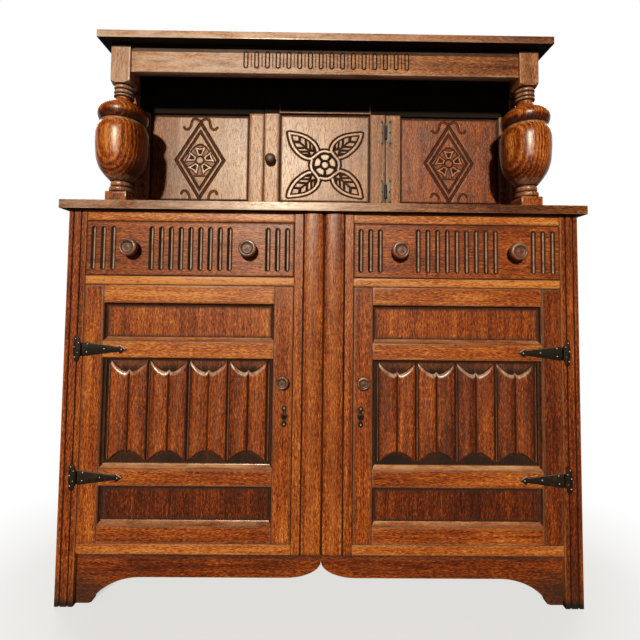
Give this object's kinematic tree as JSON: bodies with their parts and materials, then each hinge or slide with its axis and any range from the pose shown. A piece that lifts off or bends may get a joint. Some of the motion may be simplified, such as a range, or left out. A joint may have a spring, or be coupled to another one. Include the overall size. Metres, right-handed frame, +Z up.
{
  "type": "sideboard",
  "caption": "Oak sideboard with fluted drawers over linenfold doors on strap hinges, and a recessed carved upper cupboard under a canopy on bulbous turned columns.",
  "frame": {"origin": "middle of the box around the whole piece, on the floor", "axes": "+X to the right seen from the front, -Y out of the front, +Z up"},
  "size_m": [1.25, 0.4638, 1.343],
  "materials": {
    "oak": "waxed mid-brown oak",
    "oak_light": "waxed oak, lighter and more orange",
    "oak_dark": "dark waxed oak",
    "oak_panel": "waxed oak panel with darker hollows",
    "oak_inside": "bare dry oak",
    "oak_turned": "polished turned oak",
    "iron": "black wrought iron"
  },
  "bodies": {
    "carcass": {"main_top": "oak", "canopy_top": "oak", "left_stile": "oak", "right_stile": "oak", "centre_pilaster": "oak", "top_rail": "oak", "left_side": "oak", "right_side": "oak", "frieze_rail": "oak", "left_end": "oak", "right_end": "oak", "upper_frame": "oak", "drawer_rail": "oak_light", "base_rail": "oak_light", "apron": "oak_dark", "left_lozenge_panel": "oak_panel", "right_lozenge_panel": "oak_panel", "back_board": "oak_inside", "floor_board": "oak_inside", "dust_board": "oak_inside", "drawer_divider": "oak_inside", "left_column": "oak_turned", "right_column": "oak_turned", "left_upper_hinge_plate": "iron", "left_lower_hinge_plate": "iron", "right_upper_hinge_plate": "iron", "right_lower_hinge_plate": "iron", "upper_frame_leaf": "iron", "lower_frame_leaf": "iron"},
    "left_drawer": {"left_drawer_front": "oak_panel", "left_drawer_box": "oak_inside", "left_drawer_bottom": "oak_inside", "left_drawer_outer_knob": "oak_dark", "left_drawer_inner_knob": "oak_dark"},
    "left_door": {"left_door_frame": "oak_light", "left_door_top_panel": "oak_panel", "left_door_linenfold_panel": "oak_panel", "left_door_bottom_panel": "oak_panel", "left_door_knob": "oak_dark", "left_door_keyhole_plate": "iron", "left_upper_strap": "iron", "left_lower_strap": "iron"},
    "right_drawer": {"right_drawer_front": "oak_panel", "right_drawer_box": "oak_inside", "right_drawer_bottom": "oak_inside", "right_drawer_outer_knob": "oak_dark", "right_drawer_inner_knob": "oak_dark"},
    "right_door": {"right_door_frame": "oak_light", "right_door_top_panel": "oak_panel", "right_door_linenfold_panel": "oak_panel", "right_door_bottom_panel": "oak_panel", "right_door_knob": "oak_dark", "right_door_keyhole_plate": "iron", "right_upper_strap": "iron", "right_lower_strap": "iron"},
    "upper_door": {"upper_door_frame": "oak", "upper_door_panel": "oak_panel", "upper_door_knob": "oak_dark", "upper_door_leaf": "iron", "lower_door_leaf": "iron"}
  },
  "joints": [
    {"name": "left_drawer_slide", "type": "slide", "parent": "carcass", "child": "left_drawer", "axis": [0, -1, 0], "range_m": [0, 0.25]},
    {"name": "right_drawer_slide", "type": "slide", "parent": "carcass", "child": "right_drawer", "axis": [0, -1, 0], "range_m": [0, 0.25]},
    {"name": "left_door_hinge", "type": "hinge", "parent": "carcass", "child": "left_door", "pos_m": [-0.57, -0.1925, 0.43975], "axis": [0, 0, -1], "range_deg": [0, 115]},
    {"name": "right_door_hinge", "type": "hinge", "parent": "carcass", "child": "right_door", "pos_m": [0.57, -0.1925, 0.43975], "axis": [0, 0, 1], "range_deg": [0, 115]},
    {"name": "upper_door_hinge", "type": "hinge", "parent": "carcass", "child": "upper_door", "pos_m": [0.16515, -0.0837, 1.0963], "axis": [0, 0, 1], "range_deg": [0, 100]}
  ]
}
